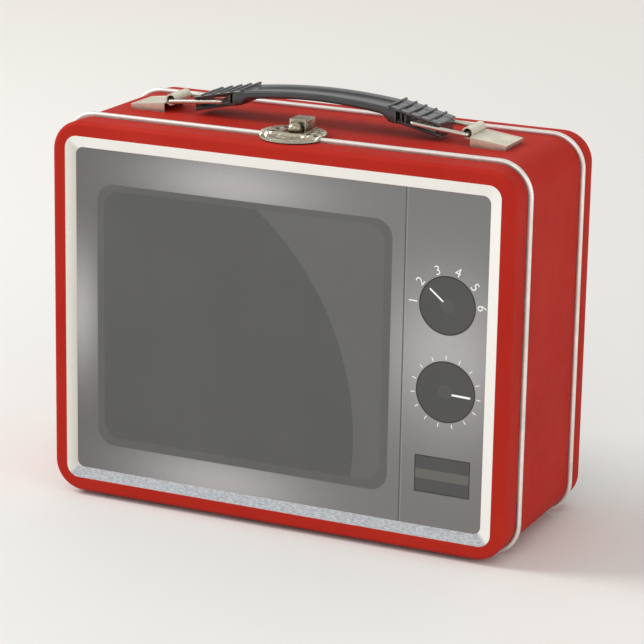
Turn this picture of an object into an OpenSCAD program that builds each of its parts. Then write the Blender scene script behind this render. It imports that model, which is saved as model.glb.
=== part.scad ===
/* [Case] */
// Width of the case over its walls
case_w = 226; // [180:1:300]
// Height of the case over its walls
case_h = 176; // [140:1:240]
// Depth from the front face to the rear face
case_d = 96; // [80:1:140]
// Thickness of the tinplate
wall = 0.5; // [0.4:0.05:0.8]
// Radius of the four corners, seen from the front
corner_r = 14; // [11:0.5:24]
// Radius of the lid's front edge
front_edge_r = 2.2; // [1.4:0.1:3]
// Radius of the rear cover's edge
rear_edge_r = 2.2; // [1.4:0.1:4]

/* [Rolled edges] */
// Thickness of each rolled edge
bead_d = 2.4; // [2:0.1:3]
// How far a rolled edge stands out of the wall
bead_stand = 2; // [1.8:0.1:2.6]
// Front face to the middle of the front rolled edge
lid_depth = 15.4; // [13:0.1:24]
// Rear face to the middle of the rear rolled edge
rear_depth = 16; // [12:0.1:24]
// Gap between the lid's edge and the front rolled edge
seam_gap = 0.4; // [0.3:0.05:0.8]
// Gap between the collar and the inside of the lid
collar_gap = 0.5; // [0.4:0.05:0.8]
// How far the collar reaches into the lid
collar_reach = 4; // [3:0.1:5]

/* [Front and rear frames] */
// Wall to the outside of the pressed frame
frame_margin = 6.6; // [5:0.1:12]
// Width of the pressed frame's slope
frame_w = 5.1; // [3:0.1:9]
// Corner radius outside the frame
frame_r = 6; // [4:0.1:10]
// Corner radius of the printed panel
panel_r = 3.6; // [2:0.1:6]
// How deep the printed panel sits behind the face
recess = 1.2; // [0.6:0.1:2.4]
// Thickness of the printed panel
panel_t = 0.4; // [0.3:0.1:1.2]

/* [Lid hinges] */
// Length of each hinge
hinge_len = 40; // [30:1:50]
// Start of a corner to the near end of a hinge
hinge_inset = 19; // [6:1:22]
// Outside radius of a knuckle
knuckle_r = 1.45; // [1.3:0.05:1.6]
// Radius of the hinge pin
hinge_pin_r = 0.7; // [0.5:0.05:0.8]
// Running clearance around the pins
pin_gap = 0.05; // [0.02:0.01:0.09]
// Thickness of a hinge leaf
leaf_t = 0.6; // [0.5:0.05:0.8]
// How far a leaf reaches from the hinge's axis
leaf_reach = 9.8; // [8:0.2:10]

/* [Latch] */
// Radius of the round latch plate
rosette_r = 14.9; // [12:0.1:16]
// Middle of the front rolled edge to the middle of the latch plate
rosette_back = 1.8; // [0:0.1:2]
// Number of scallops around the latch plate
scallops = 30; // [18:2:36]
// Width of the latch box
box_w = 8; // [6:0.1:9]
// Length of the latch box from front to rear
box_l = 9.6; // [9:0.1:12]
// Height of the latch box
box_h = 7.5; // [7.2:0.1:9]
// Thickness of the nickelled sheet
sheet = 0.8; // [0.6:0.05:0.9]
// Radius of the latch pin
latch_pin_r = 0.8; // [0.6:0.05:1]

/* [Handle] */
// Start of a corner to the middle of a bracket's barrel
barrel_inset = 25.4; // [22:0.1:36]
// Width of the brackets
bracket_w = 20.2; // [16:0.1:25]
// Length of a bracket's sloping top
bracket_l = 17.2; // [14:0.1:19]
// Length of the rolled barrel
barrel_l = 15.2; // [13:0.1:15.8]
// Outside radius of the rolled barrel
barrel_r = 2.7; // [2.5:0.1:2.9]
// Height of the barrel's middle above the case
barrel_z = 5.7; // [5.6:0.1:6.2]
// Radius of the bail wire
wire_r = 1; // [0.8:0.05:1.1]
// Distance between a bail's two cross bars
bail_l = 26.34; // [24:0.1:28]
// Slope of a bail at rest
bail_rise = 5.6; // [5.2:0.1:7]
// Width of the grip
grip_w = 20; // [16:0.1:25]
// Height of the grip's middle above the case
grip_z = 16; // [15:0.1:18]
// Number of ribs at each end of the grip
ribs = 5; // [3:1:6]

/* [Hidden] */
$fn = 64;

// The base is at z = 0, where both rolled edges touch the table
mid_z = case_h / 2 + bead_stand;
top_z = case_h + bead_stand;
front = -case_d / 2;
rear = case_d / 2;
in_w = case_w - 2 * wall;
in_h = case_h - 2 * wall;
in_r = corner_r - wall;
bead_r = bead_d / 2;
bead_out = bead_stand - bead_r;
front_bead_y = front + lid_depth;
rear_bead_y = rear - rear_depth;
lid_edge = front_bead_y - bead_r - seam_gap;
frame_out_w = case_w - 2 * frame_margin;
frame_out_h = case_h - 2 * frame_margin;
panel_w = frame_out_w - 2 * frame_w;
panel_h = frame_out_h - 2 * frame_w;
pocket = recess + panel_t;

hinge_x = case_w / 2 - corner_r - hinge_inset - hinge_len / 2;

// The hinge's axis lies just in front of the front rolled edge, below the lid's floor
knuckle_gap = 0.15;
bead_gap = 0.3;
hinge_y = front_bead_y - bead_r - bead_gap - knuckle_r;
hinge_z = knuckle_r + knuckle_gap;
knuckles = 5;
knuckle_l = hinge_len / knuckles;
side_gap = 0.3;
clear = 0.35;
floor_z = bead_stand + wall;
leaf_rivet_x = hinge_len * 0.3;
lid_rivet_y = hinge_y - 0.68 * leaf_reach;
body_rivet_y = hinge_y + 0.7 * leaf_reach;
rivet_r = 1.1;
rivet_head_r = 2;
rivet_head_t = 0.7;

// Latch, measured from the top of the case
rosette_mid = front_bead_y + rosette_back;
plate_t = 0.8;
over_bead = bead_stand + 0.3;
rosette_rise = 0.6;
notch_y = front_bead_y + bead_r + 0.1;
notch_w = box_w + 1.6;
skirt_edge = lid_edge - 0.2;
plate_rivet_x = 5;
plate_rivet_y = lid_edge - collar_reach - rivet_head_r - 0.3;
box_y = notch_y + 4.9;
latch_y = box_y + 3.5;
latch_z = 4.6;
box_lip = 1.5;
catch_w = box_w - 2 * sheet - 1.4;
nose_r = 2;
nose_y = box_y - nose_r - 0.5;
box_rivet_y = latch_y + 3;

// Handle, measured from the top of the case
slope = atan(0.2217);
barrel_x = case_w / 2 - corner_r - barrel_inset;
wire_x = barrel_x - 0.1;
wire_z = barrel_z - 0.64;
leg_y = barrel_l / 2 + wire_r + 0.4;
bend_r = 1.3;
bail_in = wire_x - bail_l * cos(bail_rise);
bail_end_z = wire_z + bail_l * sin(bail_rise);
lift = 42.8;
bail_out = wire_x - bail_l * cos(bail_rise + lift);
bracket_x = barrel_x + 2.3;
bracket_low = 2.4;
bracket_high = 4.5;
tab_l = 5;
tab_x = bracket_x + bracket_l * 0.3;
bore_r = barrel_r - 0.7;
grip_in = bail_in - 11.4;
grip_out = bail_out + wire_r + 1.4 + 2.3;
grip_sag = 2.3;
slot_low = bail_end_z - (wire_r + 0.38) / cos(slope);
slot_high = slot_low + 2 * wire_r + 2.4;
slot_in = bail_in - 7.3;
slot_out = bail_out + wire_r + 1.4;
slab_t = 1.25;
plate_low = 1.4;
bar_t = 3.3;
rib_h = 0.6;
rib_t = 0.9;
rib_pitch = 4.87;

// A flat shape with true round corners
module round_rect(w, h, r) {
    square([w, h - 2 * r], center = true);
    square([w - 2 * r, h], center = true);
    for (x = [-1, 1], y = [-1, 1])
        translate([x * (w / 2 - r), y * (h / 2 - r)]) circle(r);
}

// A rounded plate that stands upright from y = a back to y = b
module slab(w, h, r, a, b) {
    translate([0, b, mid_z])
        rotate([90, 0, 0])
            linear_extrude(b - a) round_rect(w, h, r);
}

// A ring of sheet metal around the case
module ring(w, h, r, t, a, b) {
    difference() {
        slab(w, h, r, a, b);
        slab(w - 2 * t, h - 2 * t, r - t, a - 1, b + 1);
    }
}

// Half of a cross-section whose front corner has radius f
module soft_side(w, d, f) {
    difference() {
        translate([-w / 2, 0]) square([w, d]);
        for (s = [0, 1])
            mirror([s, 0])
                translate([w / 2 - f, -1])
                    difference() {
                        square([f + 1, f + 1]);
                        translate([0, f + 1]) circle(f);
                    }
    }
}

// A rounded block with a soft edge around its front face at y = a
module soft_block(w, h, r, a, b, f) {
    translate([0, a, mid_z]) {
        translate([-(w / 2 - r), 0, 0])
            rotate([90, 0, 90])
                linear_extrude(w - 2 * r)
                    rotate(-90) soft_side(h, b - a, f);
        translate([0, 0, -(h / 2 - r)])
            linear_extrude(h - 2 * r) soft_side(w, b - a, f);
        for (x = [-1, 1], z = [-1, 1])
            translate([x * (w / 2 - r), 0, z * (h / 2 - r)])
                rotate([-90, 0, 0])
                    rotate_extrude()
                        intersection() {
                            soft_side(2 * r, b - a, f);
                            square([r, b - a]);
                        }
    }
}

// A rolled edge: straight round bars joined by round corners
module bead_loop(y) {
    w = case_w / 2 + bead_out;
    h = case_h / 2 + bead_out;
    r = corner_r + bead_out;
    translate([0, y, mid_z]) {
        for (z = [-h, h])
            translate([-(w - r), 0, z]) rotate([0, 90, 0]) cylinder(h = 2 * (w - r), r = bead_r);
        for (x = [-w, w])
            translate([x, 0, -(h - r)]) cylinder(h = 2 * (h - r), r = bead_r);
        for (i = [0 : 3])
            rotate([0, -90 * i, 0])
                translate([i % 2 == 0 ? w - r : h - r, 0, i % 2 == 0 ? h - r : w - r])
                    rotate([90, 0, 0])
                        rotate_extrude(angle = 90) translate([r, 0]) circle(bead_r);
    }
}

// A tray with a pressed pocket in its face
module tray(edge, f) {
    difference() {
        soft_block(case_w, case_h, corner_r, front, edge, f);
        slab(frame_out_w, frame_out_h, frame_r, front - 1, front + pocket);
        difference() {
            soft_block(in_w, in_h, in_r, front + wall, edge + 1, f - wall);
            slab(frame_out_w + 2 * wall, frame_out_h + 2 * wall, frame_r + wall,
                 front, front + pocket + wall);
        }
    }
}

// The sloping frame pressed into a face
module pressed_frame() {
    difference() {
        slab(frame_out_w, frame_out_h, frame_r, front, front + pocket);
        slab(panel_w, panel_h, panel_r, front - 1, front + pocket + 1);
        hull() {
            slab(frame_out_w, frame_out_h, frame_r, front - 0.01, front);
            slab(panel_w, panel_h, panel_r, front + recess, front + recess + 0.01);
        }
    }
}

// A round bar along X
module bar_x(r, a, b, y, z) {
    translate([a, y, z]) rotate([0, 90, 0]) cylinder(h = b - a, r = r);
}

// A round bar along Y
module bar_y(r, a, b, x, z) {
    translate([x, a, z]) rotate([-90, 0, 0]) cylinder(h = b - a, r = r);
}

// A rivet that grips from z = 0 up to z = t
module rivet(t) {
    translate([0, 0, -rivet_head_t]) cylinder(h = rivet_head_t, r1 = rivet_head_r * 0.7, r2 = rivet_head_r);
    cylinder(h = t, r = rivet_r);
    translate([0, 0, t]) cylinder(h = rivet_head_t, r1 = rivet_head_r, r2 = rivet_head_r * 0.7);
}

// Places for the rivets of the hinge leaves
module leaf_rivet_places(y) {
    for (s = [-1, 1], t = [-1, 1])
        translate([s * hinge_x + t * leaf_rivet_x, y, bead_stand]) children();
}

// One hinge leaf: dir is -1 on the lid and 1 on the body
module leaf(side, dir) {
    x0 = side * hinge_x - hinge_len / 2;
    first = dir > 0 ? 0 : 1;
    bore = dir > 0 ? hinge_pin_r : hinge_pin_r + pin_gap;
    rivet_y = dir > 0 ? body_rivet_y : lid_rivet_y;
    difference() {
        union() {
            translate([x0, dir > 0 ? hinge_y : hinge_y - leaf_reach, floor_z])
                cube([hinge_len, leaf_reach, leaf_t]);
            for (i = [first : 2 : knuckles - 1])
                bar_x(knuckle_r, x0 + i * knuckle_l, x0 + (i + 1) * knuckle_l, hinge_y, hinge_z);
        }
        for (i = [1 - first : 2 : knuckles - 1])
            translate([x0 + i * knuckle_l - side_gap, hinge_y - knuckle_r - clear, hinge_z - 3])
                cube([knuckle_l + 2 * side_gap, 2 * (knuckle_r + clear), 9]);
        bar_x(bore, x0 - 1, x0 + hinge_len + 1, hinge_y, hinge_z);
        for (t = [-1, 1])
            translate([side * hinge_x + t * leaf_rivet_x, rivet_y, floor_z - 1])
                cylinder(h = leaf_t + 2, r = rivet_r);
    }
}

// Pieces that swing with the lid
module lid_shell() {
    color([0.75, 0.16, 0.13])
    difference() {
        tray(lid_edge, front_edge_r);
        for (s = [-1, 1])
            translate([s * hinge_x - hinge_len / 2 - 0.5, hinge_y - knuckle_r - clear, 0])
                cube([hinge_len + 1, 10, floor_z + 0.1]);
        leaf_rivet_places(lid_rivet_y) translate([0, 0, -1]) cylinder(h = 3, r = rivet_r);
        for (s = [-1, 1])
            translate([s * plate_rivet_x, plate_rivet_y, top_z - 2]) cylinder(h = 4, r = rivet_r);
    }
}

module front_frame() {
    color([0.86, 0.86, 0.84]) pressed_frame();
}

module front_panel() {
    color([0.5, 0.5, 0.5]) slab(panel_w, panel_h, panel_r, front + recess, front + pocket);
}

module left_lid_leaf() {
    color([0.8, 0.8, 0.78]) leaf(-1, -1);
}

module right_lid_leaf() {
    color([0.8, 0.8, 0.78]) leaf(1, -1);
}

module lid_leaf_rivets() {
    color([0.8, 0.8, 0.78]) leaf_rivet_places(lid_rivet_y) rivet(wall + leaf_t);
}

// Half scallop and pierced lace of the latch plate
module lace() {
    for (i = [0 : scallops - 1])
        rotate(360 / scallops * i)
            translate([rosette_r + 0.35, 0, -1]) cylinder(h = 8, r = 0.85);
    for (i = [0 : scallops / 2 - 1])
        rotate(720 / scallops * (i + 0.5))
            translate([rosette_r - 2.6, 0, over_bead - 1]) cylinder(h = 4, r = 0.7);
    for (i = [0 : 7])
        rotate(45 * i + 22.5)
            translate([rosette_r - 6, 0, over_bead - 1]) cylinder(h = 4, r = 1.1);
}

module latch_plate() {
    color([0.78, 0.76, 0.68])
    translate([0, rosette_mid, top_z])
    difference() {
        union() {
            rotate_extrude()
                polygon([[0, over_bead + rosette_rise], [rosette_r * 0.84, over_bead + 0.4],
                         [rosette_r, over_bead], [rosette_r, over_bead + plate_t],
                         [rosette_r * 0.84, over_bead + 0.4 + plate_t],
                         [0, over_bead + rosette_rise + plate_t]]);
            intersection() {
                union() {
                    difference() {
                        cylinder(h = over_bead + plate_t / 2, r = rosette_r);
                        translate([0, 0, -1]) cylinder(h = 9, r = rosette_r - 1.1);
                    }
                    cylinder(h = 0.6, r = rosette_r - 0.9);
                }
                translate([-20, -20, 0]) cube([40, 20 + skirt_edge - rosette_mid, 5]);
            }
        }
        lace();
        translate([-notch_w / 2, notch_y - rosette_mid, -1]) cube([notch_w, 30, 9]);
        for (s = [-1, 1])
            translate([s * plate_rivet_x, plate_rivet_y - rosette_mid, -1]) cylinder(h = 2.5, r = rivet_r);
    }
}

module latch_plate_rivets() {
    color([0.8, 0.8, 0.78])
    for (s = [-1, 1])
        translate([s * plate_rivet_x, plate_rivet_y, top_z - wall]) rivet(wall + 0.6);
}

// Places for the bent tabs that hold the brackets
module tab_places() {
    for (s = [0, 1], t = [0, 1])
        mirror([s, 0, 0]) mirror([0, t, 0])
            translate([tab_x, -bracket_w / 2, top_z]) children();
}

module body_band() {
    color([0.75, 0.16, 0.13])
    difference() {
        ring(case_w, case_h, corner_r, wall, front_bead_y, rear_bead_y - bead_r - 0.15);
        bead_loop(front_bead_y);
        leaf_rivet_places(body_rivet_y) translate([0, 0, -1]) cylinder(h = 3, r = rivet_r);
        translate([0, box_rivet_y, top_z - 2]) cylinder(h = 4, r = rivet_r);
        tab_places() translate([0, 0, -1]) cube([tab_l, sheet, 2]);
    }
}

module front_bead() {
    color([0.86, 0.86, 0.84]) bead_loop(front_bead_y);
}

// The collar stops short of the floor, so that the lid can swing down past it
module front_collar() {
    step = front_bead_y + bead_r + 0.5;
    collar_w = in_w - 2 * collar_gap;
    collar_h = in_h - 2 * collar_gap;
    color([0.8, 0.78, 0.72])
    difference() {
        union() {
            ring(collar_w, collar_h, in_r - collar_gap, wall, lid_edge - collar_reach, step + wall);
            ring(in_w, in_h, in_r, collar_gap + wall, step, step + wall);
            ring(in_w, in_h, in_r, wall, step, step + 6);
        }
        translate([-case_w, front, 0]) cube([2 * case_w, case_d, corner_r + 12]);
    }
}

// The rear cover's flange slides inside the band
module rear_cover() {
    color([0.75, 0.16, 0.13])
    difference() {
        union() {
            mirror([0, 1, 0]) tray(-rear_bead_y, rear_edge_r);
            ring(in_w, in_h, in_r, wall, rear_bead_y - 8, rear_bead_y + 1);
        }
        bead_loop(rear_bead_y);
    }
}

module rear_bead() {
    color([0.86, 0.86, 0.84]) bead_loop(rear_bead_y);
}

module rear_frame() {
    color([0.86, 0.86, 0.84]) mirror([0, 1, 0]) pressed_frame();
}

module rear_panel() {
    color([0.5, 0.5, 0.5]) slab(panel_w, panel_h, panel_r, rear - pocket, rear - recess);
}

module left_body_leaf() {
    color([0.8, 0.8, 0.78]) leaf(-1, 1);
}

module right_body_leaf() {
    color([0.8, 0.8, 0.78]) leaf(1, 1);
}

module body_leaf_rivets() {
    color([0.8, 0.8, 0.78]) leaf_rivet_places(body_rivet_y) rivet(wall + leaf_t);
}

module hinge_pins() {
    color([0.75, 0.75, 0.75])
    for (s = [-1, 1])
        bar_x(hinge_pin_r, s * hinge_x - hinge_len / 2, s * hinge_x + hinge_len / 2, hinge_y, hinge_z);
}

module latch_box() {
    inner_w = box_w - 2 * sheet;
    color([0.78, 0.76, 0.68])
    translate([0, 0, top_z])
    difference() {
        translate([-box_w / 2, box_y, 0]) cube([box_w, box_l, box_h]);
        translate([-inner_w / 2, box_y + sheet, sheet])
            cube([inner_w, box_l - 2 * sheet, box_h - 2 * sheet]);
        translate([-inner_w / 2, box_y - 1, sheet])
            cube([inner_w, sheet + 2, box_h - box_lip - sheet]);
        bar_x(latch_pin_r, -box_w, box_w, latch_y, latch_z);
        translate([0, box_rivet_y, -1]) cylinder(h = sheet + 1.5, r = rivet_r);
    }
}

module latch_box_rivet() {
    color([0.8, 0.8, 0.78]) translate([0, box_rivet_y, top_z - wall]) rivet(wall + sheet);
}

module latch_pin() {
    color([0.75, 0.75, 0.75])
    translate([0, 0, top_z]) bar_x(latch_pin_r, -box_w / 2 - 0.3, box_w / 2 + 0.3, latch_y, latch_z);
}

// The sprung lever that turns on the latch pin
module latch_catch() {
    lip_z = over_bead + rosette_rise + plate_t + 0.3;
    color([0.78, 0.76, 0.68])
    translate([0, 0, top_z])
    difference() {
        union() {
            bar_x(1.7, -catch_w / 2, catch_w / 2, latch_y, latch_z);
            translate([-catch_w / 2, nose_y, 1.9]) cube([catch_w, latch_y - nose_y, 1.5]);
            intersection() {
                translate([0, nose_y, 0])
                    rotate_extrude()
                        polygon([[0, 0.35], [nose_r, 0.35], [nose_r, 3.9], [1.6, 4.7], [0.7, 5], [0, 5]]);
                bar_x(latch_y - notch_y - 0.35, -5, 5, latch_y, latch_z);
            }
            translate([-1.5, notch_y - 1.8, lip_z]) cube([3, nose_y - notch_y + 1.8, 0.6]);
        }
        bar_x(latch_pin_r + pin_gap, -catch_w, catch_w, latch_y, latch_z);
    }
}

// A bracket folded from sheet, with a rolled barrel and two bent tabs
module bracket() {
    far = bracket_x + bracket_l;
    w = bracket_w;
    translate([0, 0, top_z])
    difference() {
        union() {
            translate([0, w / 2, 0]) rotate([90, 0, 0]) linear_extrude(w)
                polygon([[bracket_x, 0], [far - 0.5, 0], [far, bracket_low], [bracket_x, bracket_high]]);
            bar_y(barrel_r, -barrel_l / 2, barrel_l / 2, barrel_x, barrel_z);
            translate([0, barrel_l / 2, 0]) rotate([90, 0, 0]) linear_extrude(barrel_l)
                polygon([[barrel_x + 1, bracket_high - sheet], [bracket_x + 1, bracket_high - sheet],
                         [bracket_x + 1, bracket_high - 0.1], [barrel_x + 1, bracket_high + 0.8]]);
            for (t = [0, 1])
                mirror([0, t, 0])
                    translate([tab_x, -w / 2, -wall - sheet]) {
                        cube([tab_l, sheet, wall + sheet + 0.5]);
                        cube([tab_l, 3.6, sheet]);
                    }
        }
        translate([0, w / 2 - sheet, 0]) rotate([90, 0, 0]) linear_extrude(w - 2 * sheet)
            polygon([[bracket_x - 1, 0], [far - 0.5 - sheet, 0], [far - sheet, bracket_low - sheet],
                     [bracket_x, bracket_high - sheet], [bracket_x - 1, bracket_high - sheet - 0.2]]);
        bar_y(bore_r, -w, w, barrel_x, barrel_z);
    }
}

module left_bracket() {
    color([0.8, 0.78, 0.7]) mirror([1, 0, 0]) bracket();
}

module right_bracket() {
    color([0.8, 0.78, 0.7]) bracket();
}

// A closed loop of round wire that lies between its two cross bars
module bail() {
    run = bail_l - 2 * bend_r;
    half = leg_y - bend_r;
    translate([wire_x, 0, top_z + wire_z])
    rotate([0, bail_rise, 0])
    mirror([1, 0, 0]) {
        bar_y(wire_r, -half, half, 0, 0);
        bar_y(wire_r, -half, half, bail_l, 0);
        for (s = [-1, 1])
            bar_x(wire_r, bend_r, bend_r + run, s * leg_y, 0);
        for (a = [0, 1], b = [0, 1])
            translate([a * bail_l, 0, 0]) mirror([a, 0, 0]) mirror([0, b, 0])
                translate([bend_r, half, 0])
                    rotate([0, 0, 90]) rotate_extrude(angle = 90) translate([bend_r, 0]) circle(wire_r);
    }
}

module left_bail() {
    color([0.85, 0.84, 0.8]) mirror([1, 0, 0]) bail();
}

module right_bail() {
    color([0.85, 0.84, 0.8]) bail();
}

// Lines that follow the sloping end of the grip
function fall(x) = -0.2217 * (x - bail_in);
function arch_top(x) = grip_z - grip_sag * pow(x / grip_in, 2);
function arch_low(x) = grip_z - bar_t - 2.9 * pow(x / grip_in, 2);
slab_top = slot_high + slab_t;
foot_low = slot_low - plate_low;
half_top = [for (i = [0 : 12]) let (x = grip_in * i / 12) [x, arch_top(x)]];
half_low = [for (i = [12 : -1 : 0]) let (x = (grip_in - 4) * i / 12) [x, arch_low(x)]];
inner_knee = [for (i = [4 : -1 : 0])
    let (u = i / 4) [grip_in - 4 + 4.4 * u, arch_low(grip_in - 4) * (1 - u * u)
                     + (foot_low + fall(grip_in + 0.4)) * u * u]];
half_outline = concat(half_top,
    [[grip_in + 0.1, slab_top + fall(grip_in + 0.1)], [grip_out, slab_top + fall(grip_out)],
     [grip_out, foot_low + fall(grip_out)]],
    inner_knee, [for (i = [1 : 12]) half_low[i]]);

module grip_half() {
    difference() {
        translate([0, grip_w / 2, 0]) rotate([90, 0, 0]) linear_extrude(grip_w) polygon(half_outline);
        // Open slot for the bail's inner cross bar
        translate([0, grip_w, 0]) rotate([90, 0, 0]) linear_extrude(2 * grip_w)
            polygon([[slot_in, slot_low + fall(slot_in)], [slot_out, slot_low + fall(slot_out)],
                     [slot_out, slot_high + fall(slot_out)], [slot_in, slot_high + fall(slot_in)]]);
        // Room for the loop's legs beside the end wall and the foot
        for (s = [-1, 1])
            translate([0, s * (barrel_l / 2 + grip_w), 0]) rotate([90, 0, 0])
                linear_extrude(2 * grip_w, center = true)
                    polygon([[slot_in, -grip_z], [grip_out + 1, -grip_z],
                             [grip_out + 1, slot_high + fall(grip_out + 1)],
                             [slot_out, slot_high + fall(slot_out)], [slot_in, slot_high + fall(slot_in)]]);
        // Shallow channel along the top of the bar
        translate([0, grip_w / 4, 0]) rotate([90, 0, 0]) linear_extrude(grip_w / 2)
            polygon(concat([for (i = [0 : 12]) let (x = (grip_in - 1) * i / 12) [x, arch_top(x) - 0.8]],
                           [[grip_in - 1, grip_z + 1], [0, grip_z + 1]]));
    }
    for (i = [0 : ribs - 1])
        let (x = grip_in + rib_t / 2 + 0.2 + rib_pitch * i)
            translate([x, 0, slab_top + fall(x) + rib_h / 2 - 0.2])
                rotate([0, slope, 0]) cube([rib_t, grip_w, rib_h + 0.4], center = true);
    // Webs across the inner end of the slot
    for (x = [slot_in + 1.1, slot_in + 3.2])
        translate([x, 0.2 - barrel_l / 2, slot_low + fall(x) - 0.5])
            cube([0.9, barrel_l - 0.4, slot_high - slot_low + 1]);
}

module grip() {
    color([0.2, 0.2, 0.2])
    translate([0, 0, top_z]) {
        grip_half();
        mirror([1, 0, 0]) grip_half();
    }
}

lid_shell();
front_frame();
front_panel();
left_lid_leaf();
right_lid_leaf();
lid_leaf_rivets();
latch_plate();
latch_plate_rivets();
body_band();
front_bead();
front_collar();
rear_cover();
rear_bead();
rear_frame();
rear_panel();
left_body_leaf();
right_body_leaf();
body_leaf_rivets();
hinge_pins();
latch_box();
latch_box_rivet();
latch_pin();
latch_catch();
left_bracket();
right_bracket();
left_bail();
right_bail();
grip();
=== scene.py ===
import json
import math

import bmesh
import bpy
from mathutils import Matrix, Vector


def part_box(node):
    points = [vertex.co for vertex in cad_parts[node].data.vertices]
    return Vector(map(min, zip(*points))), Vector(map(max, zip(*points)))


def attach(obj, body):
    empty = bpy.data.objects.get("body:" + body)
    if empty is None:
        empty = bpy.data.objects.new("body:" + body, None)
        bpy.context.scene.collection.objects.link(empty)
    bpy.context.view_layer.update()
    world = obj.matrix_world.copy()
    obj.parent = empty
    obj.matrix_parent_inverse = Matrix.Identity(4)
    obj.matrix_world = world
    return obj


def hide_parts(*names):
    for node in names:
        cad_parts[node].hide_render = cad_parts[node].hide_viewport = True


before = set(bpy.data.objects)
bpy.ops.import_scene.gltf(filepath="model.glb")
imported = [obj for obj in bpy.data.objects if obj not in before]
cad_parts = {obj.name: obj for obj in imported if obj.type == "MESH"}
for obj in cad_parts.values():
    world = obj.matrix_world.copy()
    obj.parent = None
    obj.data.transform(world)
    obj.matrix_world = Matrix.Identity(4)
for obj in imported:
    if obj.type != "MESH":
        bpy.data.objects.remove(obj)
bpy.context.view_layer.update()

mm = 0.001
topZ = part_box("lid_shell")[1].z
midZ = (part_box("lid_shell")[0].z + topZ) / 2


def paint(red, green, blue):  # a colour as it looks on a screen, 0 to 255
    def linear(c):
        c /= 255
        return c / 12.92 if c <= 0.04045 else ((c + 0.055) / 1.055) ** 2.4
    return (linear(red), linear(green), linear(blue), 1.0)


class Finish:
    def __init__(self, name):
        self.material = bpy.data.materials.new(name)
        self.material.use_nodes = True
        self.tree = self.material.node_tree
        self.shader = self.tree.nodes["Principled BSDF"]
        self.place = self.add("ShaderNodeTexCoord").outputs["Object"]

    def add(self, kind, **settings):
        made = self.tree.nodes.new(kind)
        for key, value in settings.items():
            setattr(made, key, value)
        return made

    def put(self, socket, value):
        if isinstance(value, bpy.types.NodeSocket):
            self.tree.links.new(value, socket)
        else:
            socket.default_value = value

    def calc(self, operation, *values):
        made = self.add("ShaderNodeMath", operation=operation)
        for socket, value in zip(made.inputs, values):
            self.put(socket, value)
        return made.outputs[0]

    def axes(self):
        made = self.add("ShaderNodeSeparateXYZ")
        self.put(made.inputs[0], self.place)
        return made.outputs

    def noise(self, size, detail=3.0, roughness=0.5, stretch=(1, 1, 1)):  # size in millimetres
        mapping = self.add("ShaderNodeMapping")
        self.put(mapping.inputs["Vector"], self.place)
        mapping.inputs["Scale"].default_value = [1 / s for s in stretch]
        made = self.add("ShaderNodeTexNoise")
        self.put(made.inputs["Vector"], mapping.outputs[0])
        made.inputs["Scale"].default_value = 1000 / size
        made.inputs["Detail"].default_value = detail
        made.inputs["Roughness"].default_value = roughness
        return made.outputs["Fac"]

    def spread(self, value, low, high, toLow, toHigh):
        made = self.add("ShaderNodeMapRange")
        for socket, v in zip(made.inputs, (value, low, high, toLow, toHigh)):
            self.put(socket, v)
        return made.outputs[0]

    def mix(self, share, first, second):
        made = self.add("ShaderNodeMix", data_type="RGBA")
        self.put(made.inputs["Factor"], share)
        self.put(made.inputs[6], first)
        self.put(made.inputs[7], second)
        return made.outputs[2]

    def scratches(self, size, turn, thin=0.012):  # fine straight marks that come and go
        mapping = self.add("ShaderNodeMapping")
        self.put(mapping.inputs["Vector"], self.place)
        mapping.inputs["Rotation"].default_value = turn
        mapping.inputs["Scale"].default_value = (1, 0.07, 1)
        made = self.add("ShaderNodeTexVoronoi", feature="DISTANCE_TO_EDGE")
        self.put(made.inputs["Vector"], mapping.outputs[0])
        made.inputs["Scale"].default_value = 1000 / size
        line = self.spread(made.outputs["Distance"], 0.0, thin, 1.0, 0.0)
        return self.calc("MULTIPLY", line, self.spread(self.noise(size * 1.7), 0.5, 0.72, 0, 1))

    def bump(self, height, strength, distance):
        made = self.add("ShaderNodeBump")
        made.inputs["Strength"].default_value = strength
        made.inputs["Distance"].default_value = distance * mm
        self.put(made.inputs["Height"], height)
        self.put(self.shader.inputs["Normal"], made.outputs[0])

    def edges(self, radius, low=0.03, high=0.25):  # 1 along corners: used to paint highlights on corners, and on the red paint also rubbed wear
        rounded = self.add("ShaderNodeBevel", samples=6)
        rounded.inputs["Radius"].default_value = radius * mm
        flat = self.add("ShaderNodeNewGeometry")
        made = self.add("ShaderNodeVectorMath", operation="DOT_PRODUCT")
        self.put(made.inputs[0], rounded.outputs[0])
        self.put(made.inputs[1], flat.outputs["Normal"])
        return self.spread(self.calc("SUBTRACT", 1.0, made.outputs["Value"]), low, high, 0, 1)

    def hollows(self, distance, low=0.35, high=0.95):  # 1 deep in a hollow, 0 in the open; used to paint shade into hollows
        made = self.add("ShaderNodeAmbientOcclusion", samples=8)
        made.inputs["Distance"].default_value = distance * mm
        return self.spread(made.outputs["AO"], low, high, 1, 0)

    def facing(self, sign):  # 1 on faces that look along sign * Y
        turned = self.add("ShaderNodeSeparateXYZ")
        self.put(turned.inputs[0], self.add("ShaderNodeTexCoord").outputs["Normal"])
        return self.spread(self.calc("MULTIPLY", turned.outputs[1], float(sign)), 0.25, 0.35, 0, 1)

    def gloss(self, **values):
        for name, value in values.items():
            self.put(self.shader.inputs[name.replace("_", " ")], value)

    def done(self, colour, roughness):
        self.put(self.shader.inputs["Base Color"], colour)
        self.put(self.shader.inputs["Roughness"], roughness)
        return self.material


redPaintLook = {
    "deep": paint(168, 37, 27), "light": paint(177, 44, 33), "grainSize": 0.5, "rubAndSheen": paint(206, 92, 80),
}


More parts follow.
